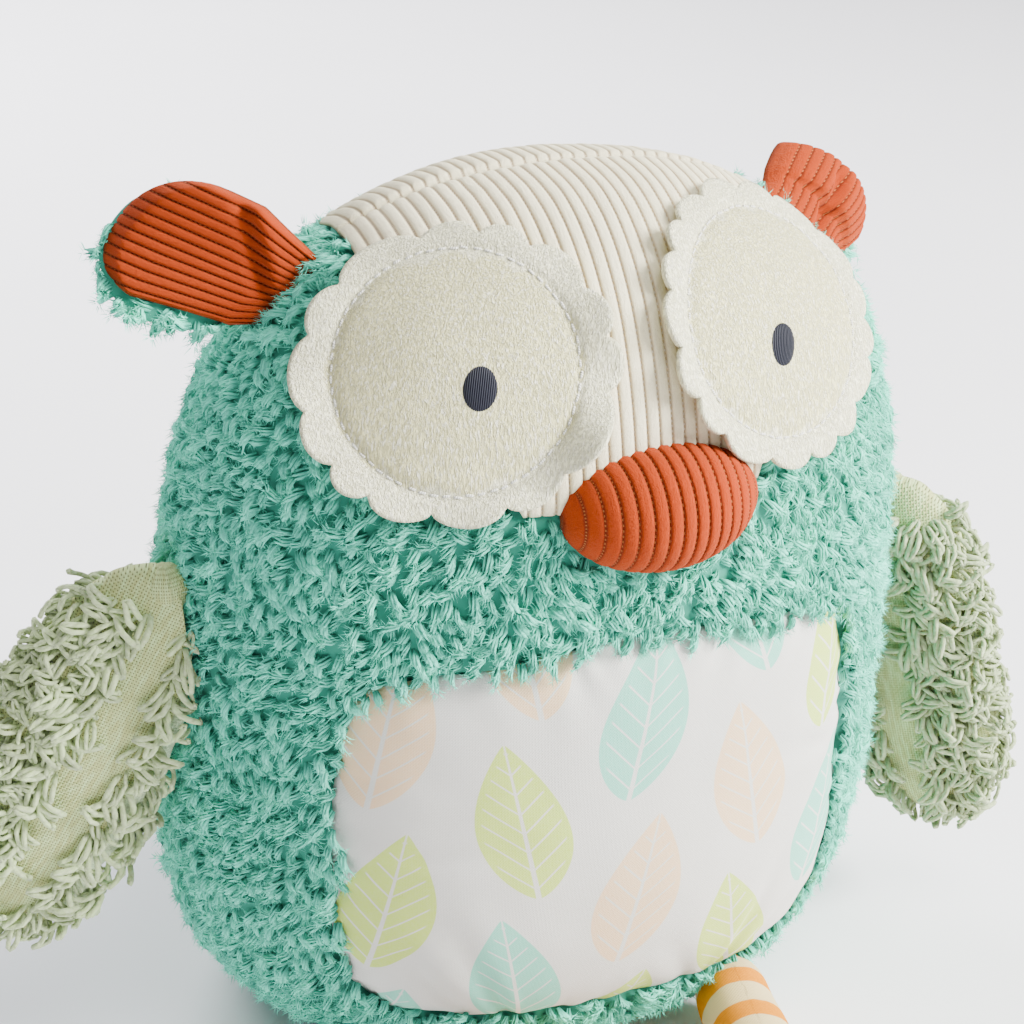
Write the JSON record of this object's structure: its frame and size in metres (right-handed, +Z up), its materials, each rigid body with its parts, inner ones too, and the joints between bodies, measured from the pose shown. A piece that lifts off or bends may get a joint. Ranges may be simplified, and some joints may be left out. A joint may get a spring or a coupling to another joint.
{
  "type": "plush owl",
  "caption": "Egg-shaped stuffed owl of teal pile with felt eyes, a padded corduroy beak, cupped ears, fringed wings and striped legs.",
  "frame": {"origin": "on the surface that the owl stands on, on the flat underside of its base panel", "axes": "+Z up; the owl faces -Y, and its right side is at -X"},
  "size_m": [0.329, 0.2688, 0.2611],
  "materials": {
    "stuffing": "polyester fibre, loose matt fibre",
    "pile": "teal curly pile, deep curly pile, matt",
    "cotton": "printed cotton, plain weave with a printed leaf pattern",
    "cream_cord": "cream corduroy, wide-wale corduroy",
    "rust_cord": "rust corduroy, wide-wale corduroy",
    "felt": "cream felt, pressed felt",
    "cream_thread": "cream thread, twisted sewing thread",
    "navy_thread": "navy thread, satin-stitch embroidery",
    "sage": "sage cloth, plain weave with bands of loops",
    "striped": "striped jersey, cream and orange striped knit"
  },
  "bodies": {
    "body": {"body_stuffing": "stuffing", "front_cover": "pile", "back_cover_right": "pile", "back_cover_left": "pile", "base_cover": "pile", "belly_panel": "cotton", "forehead_panel": "cream_cord", "crown_panel": "cream_cord", "beak_cover": "rust_cord", "beak_stuffing": "stuffing", "eye_felt_right": "felt", "eye_stitching_right": "cream_thread", "pupil_right": "navy_thread", "eye_felt_left": "felt", "eye_stitching_left": "cream_thread", "pupil_left": "navy_thread"},
    "ear_right": {"ear_back_right": "pile", "ear_lining_right": "rust_cord"},
    "wing_root_right": {"wing_root_right": "sage"},
    "wing_right": {"wing_stuffing_right": "stuffing", "wing_front_right": "sage", "wing_back_right": "sage"},
    "leg_right": {"leg_cover_right": "striped", "leg_stuffing_right": "stuffing"},
    "ear_left": {"ear_back_left": "pile", "ear_lining_left": "rust_cord"},
    "wing_root_left": {"wing_root_left": "sage"},
    "wing_left": {"wing_stuffing_left": "stuffing", "wing_front_left": "sage", "wing_back_left": "sage"},
    "leg_left": {"leg_cover_left": "striped", "leg_stuffing_left": "stuffing"}
  },
  "joints": [
    {"name": "ear_fold_right", "type": "hinge", "parent": "body", "child": "ear_right", "pos_m": [-0.07851, -0.015, 0.23995], "axis": [-0.6543, 0, -0.7563], "range_deg": [-20, 20], "stiffness_Nm_per_rad": 0.04},
    {"name": "wing_swing_right", "type": "hinge", "parent": "body", "child": "wing_root_right", "pos_m": [-0.11069, -0.01541, 0.15828], "axis": [0, 0, 1], "range_deg": [-10, 15], "stiffness_Nm_per_rad": 0.03},
    {"name": "wing_lift_right", "type": "hinge", "parent": "wing_root_right", "child": "wing_right", "pos_m": [-0.11069, -0.01541, 0.15828], "axis": [0.2756, 0.9613, 0], "range_deg": [0, 90]},
    {"name": "leg_lift_right", "type": "hinge", "parent": "body", "child": "leg_right", "pos_m": [-0.04232, -0.0587, 0.013], "axis": [1, 0, 0], "range_deg": [-5, 45]},
    {"name": "ear_fold_left", "type": "hinge", "parent": "body", "child": "ear_left", "pos_m": [0.07851, -0.015, 0.23995], "axis": [0.6543, 0, -0.7563], "range_deg": [0, 20], "stiffness_Nm_per_rad": 0.04},
    {"name": "wing_swing_left", "type": "hinge", "parent": "body", "child": "wing_root_left", "pos_m": [0.11146, -0.01541, 0.14915], "axis": [0, 0, 1], "range_deg": [-15, 0], "stiffness_Nm_per_rad": 0.03},
    {"name": "wing_lift_left", "type": "hinge", "parent": "wing_root_left", "child": "wing_left", "pos_m": [0.11146, -0.01541, 0.14915], "axis": [-0.2079, -0.9781, 0], "range_deg": [0, 90]},
    {"name": "leg_lift_left", "type": "hinge", "parent": "body", "child": "leg_left", "pos_m": [0.04232, -0.05869, 0.013], "axis": [1, 0, 0], "range_deg": [-5, 45]}
  ]
}
